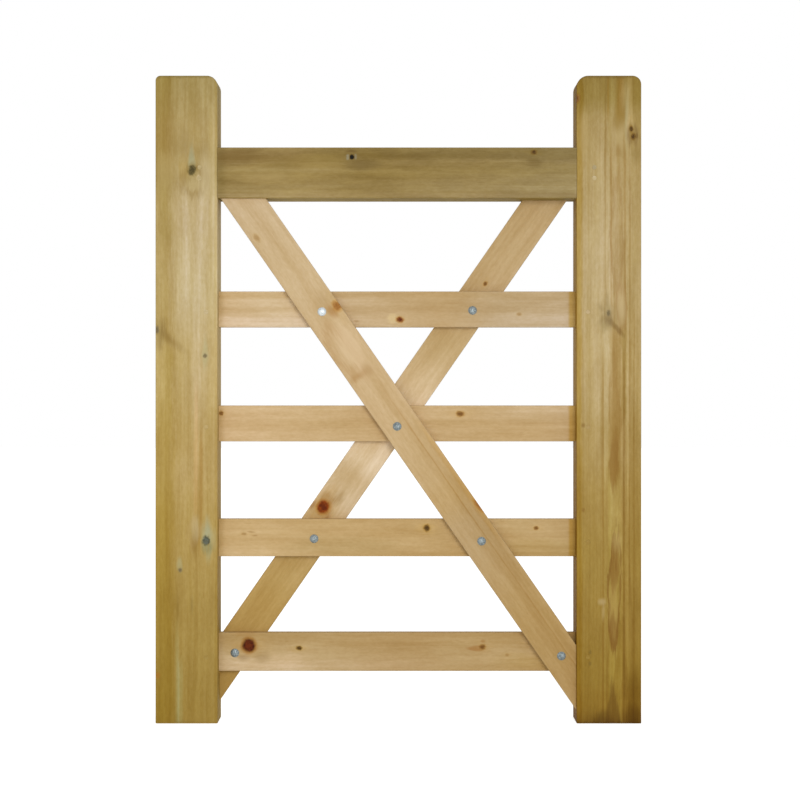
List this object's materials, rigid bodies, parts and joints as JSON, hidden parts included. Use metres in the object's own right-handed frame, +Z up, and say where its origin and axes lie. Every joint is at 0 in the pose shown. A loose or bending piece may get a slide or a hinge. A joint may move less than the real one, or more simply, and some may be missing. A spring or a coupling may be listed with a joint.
{
  "type": "field gate",
  "caption": "Timber pedestrian field gate leaf: thick stiles and top rail, lighter rails mortised between them, crossed braces held by coach bolts.",
  "frame": {"origin": "On the ground under the middle of the gate: midway across its width and midway through the stiles' thickness.", "axes": "+Z up the stiles, +X along the rails to the right as seen from the front, +Y from the front face to the back."},
  "size_m": [0.9, 0.07, 1.2],
  "materials": {
    "left_stile_timber": "planed pressure-treated softwood, olive",
    "right_stile_timber": "planed pressure-treated softwood, olive brown",
    "top_rail_timber": "planed pressure-treated softwood, dark olive",
    "rail_timber": "planed softwood, pinkish tan",
    "front_brace_timber": "planed softwood, pale tan",
    "back_brace_timber": "planed softwood, tan",
    "dowel_timber": "end grain of treated softwood",
    "zinc_steel": "bright zinc plate"
  },
  "bodies": {
    "root": {"left_stile": "left_stile_timber", "right_stile": "right_stile_timber", "top_rail": "top_rail_timber", "second_rail": "rail_timber", "third_rail": "rail_timber", "fourth_rail": "rail_timber", "bottom_rail": "rail_timber", "front_brace": "front_brace_timber", "back_brace": "back_brace_timber", "front_brace_upper_bolt": "zinc_steel", "front_brace_upper_washer": "zinc_steel", "front_brace_upper_nut": "zinc_steel", "front_brace_lower_bolt": "zinc_steel", "front_brace_lower_washer": "zinc_steel", "front_brace_lower_nut": "zinc_steel", "front_brace_foot_bolt": "zinc_steel", "front_brace_foot_washer": "zinc_steel", "front_brace_foot_nut": "zinc_steel", "back_brace_upper_bolt": "zinc_steel", "back_brace_upper_washer": "zinc_steel", "back_brace_upper_nut": "zinc_steel", "back_brace_lower_bolt": "zinc_steel", "back_brace_lower_washer": "zinc_steel", "back_brace_lower_nut": "zinc_steel", "back_brace_foot_bolt": "zinc_steel", "back_brace_foot_washer": "zinc_steel", "back_brace_foot_nut": "zinc_steel", "middle_bolt": "zinc_steel", "middle_washer": "zinc_steel", "middle_nut": "zinc_steel", "left_top_upper_dowel": "dowel_timber", "left_top_lower_dowel": "dowel_timber", "left_second_dowel": "dowel_timber", "left_third_dowel": "dowel_timber", "left_fourth_dowel": "dowel_timber", "left_bottom_dowel": "dowel_timber", "right_top_upper_dowel": "dowel_timber", "right_top_lower_dowel": "dowel_timber", "right_second_dowel": "dowel_timber", "right_third_dowel": "dowel_timber", "right_fourth_dowel": "dowel_timber", "right_bottom_dowel": "dowel_timber"}
  },
  "joints": []
}
